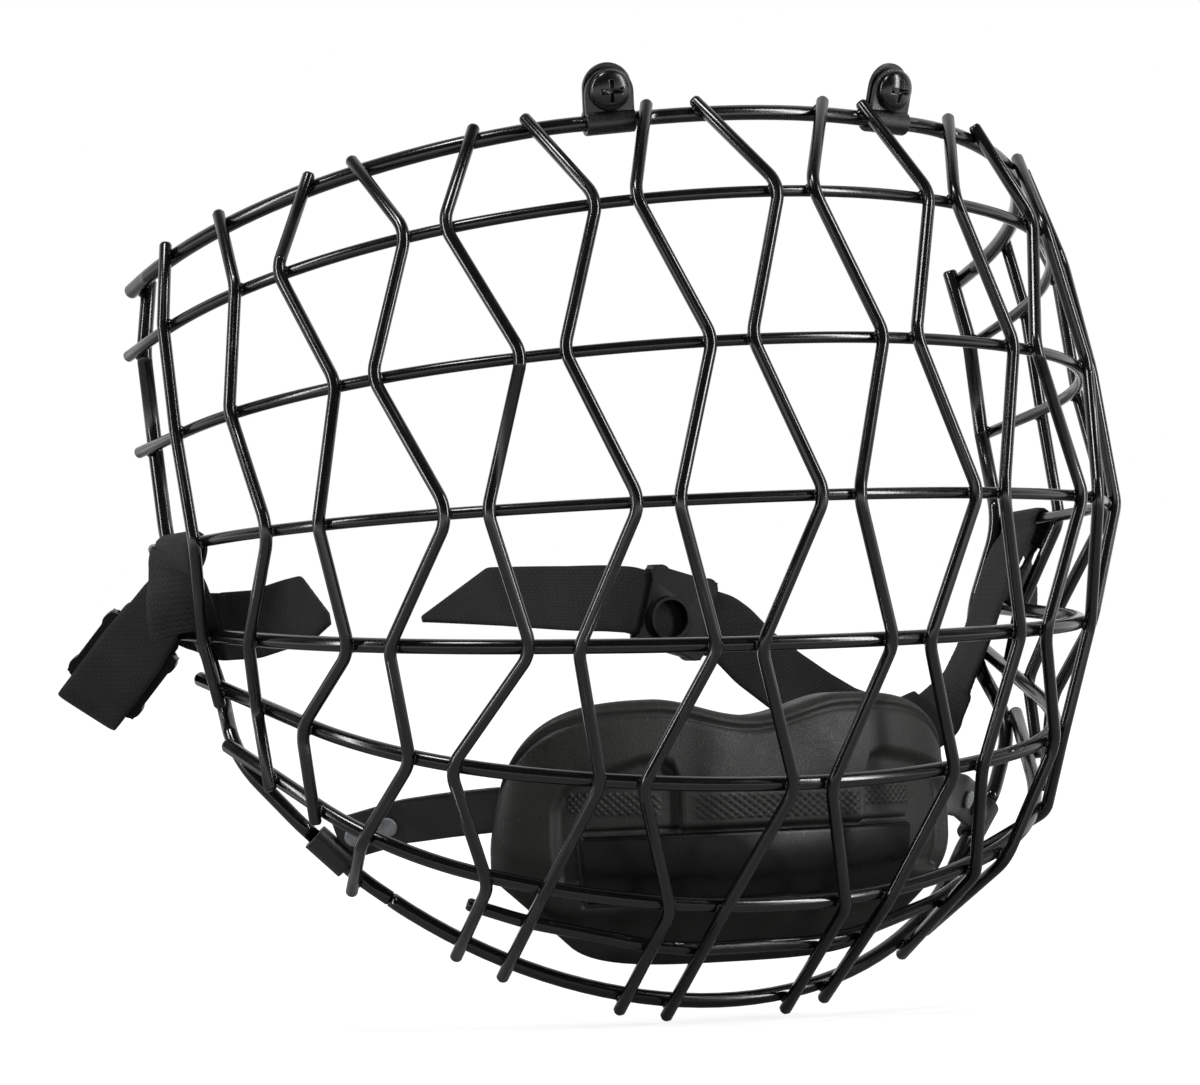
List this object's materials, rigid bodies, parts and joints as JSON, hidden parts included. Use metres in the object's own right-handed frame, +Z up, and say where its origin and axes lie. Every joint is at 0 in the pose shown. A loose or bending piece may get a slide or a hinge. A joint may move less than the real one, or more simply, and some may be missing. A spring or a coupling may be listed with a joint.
{
  "type": "ringette face mask",
  "caption": "Wire-cage face mask for a ringette helmet, with forehead clips, a padded chin cup on a strap and webbing side straps.",
  "frame": {"origin": "front centre of the top rim wire, on its centreline", "axes": "the face looks along -Y and +Z is up, so +X is the wearer's left"},
  "size_m": [0.2453, 0.1345, 0.2124],
  "materials": {
    "wire": "glossy black powder coat",
    "clip": "semi-gloss black",
    "screw": "glossy black",
    "cup": "moulded, fine grain",
    "band": "smooth satin",
    "vinyl": "satin coated strap",
    "rivet": "translucent grey",
    "webbing": "woven nylon",
    "slider": "moulded, satin"
  },
  "bodies": {
    "cage": {"top_rim_wire": "wire", "cross_wire_1": "wire", "cross_wire_2": "wire", "cross_wire_3": "wire", "cross_wire_4": "wire", "cross_wire_5": "wire", "cross_wire_6": "wire", "chin_wire": "wire", "edge_wire": "wire", "face_wire_left_1": "wire", "face_wire_left_2": "wire", "face_wire_left_3": "wire", "face_wire_left_4": "wire", "face_wire_left_5": "wire", "face_wire_left_6": "wire", "face_wire_left_7": "wire", "face_wire_left_8": "wire", "face_wire_right_1": "wire", "face_wire_right_2": "wire", "face_wire_right_3": "wire", "face_wire_right_4": "wire", "face_wire_right_5": "wire", "face_wire_right_6": "wire", "face_wire_right_7": "wire", "face_wire_right_8": "wire", "left_chin_loop": "vinyl", "right_chin_loop": "vinyl"},
    "left_clip": {"left_clip": "clip", "left_clip_screw": "screw"},
    "right_clip": {"right_clip": "clip", "right_clip_screw": "screw"},
    "chin_cup": {"chin_cup": "cup", "chin_cup_band": "band", "left_chin_strap": "vinyl", "right_chin_strap": "vinyl", "left_chin_rivets": "rivet", "right_chin_rivets": "rivet"},
    "left_side_strap": {"left_side_strap": "webbing"},
    "right_side_strap": {"right_side_strap": "webbing"},
    "left_slider": {"left_slider": "slider"},
    "right_slider": {"right_slider": "slider"}
  },
  "joints": [
    {"name": "left_clip_swivel", "type": "hinge", "parent": "cage", "child": "left_clip", "pos_m": [0.03521, 0.00462, -0.00168], "axis": [0.9727, 0.2181, -0.0794], "range_deg": [-75, 60]},
    {"name": "right_clip_swivel", "type": "hinge", "parent": "cage", "child": "right_clip", "pos_m": [-0.03521, 0.00462, -0.00168], "axis": [0.9727, -0.2181, 0.0794], "range_deg": [-75, 60]},
    {"name": "chin_cup_swing", "type": "hinge", "parent": "cage", "child": "chin_cup", "pos_m": [0, 0.05285, -0.1607], "axis": [-1, 0, 0], "range_deg": [0, 15]},
    {"name": "left_side_strap_swing", "type": "hinge", "parent": "cage", "child": "left_side_strap", "pos_m": [0.11057, 0.07005, -0.09193], "axis": [0.0523, 0.9962, -0.0697], "range_deg": [0, 6]},
    {"name": "right_side_strap_swing", "type": "hinge", "parent": "cage", "child": "right_side_strap", "pos_m": [-0.11057, 0.07005, -0.09193], "axis": [-0.0523, 0.9962, -0.0697], "range_deg": [-3, 1]},
    {"name": "left_slider_slide", "type": "slide", "parent": "left_side_strap", "child": "left_slider", "axis": [-0.9613, 0, 0.2754], "range_m": [-0.003, 0.003]},
    {"name": "right_slider_slide", "type": "slide", "parent": "right_side_strap", "child": "right_slider", "axis": [0.4399, -0.485, 0.7558], "range_m": [-0.002, 0.001]}
  ]
}
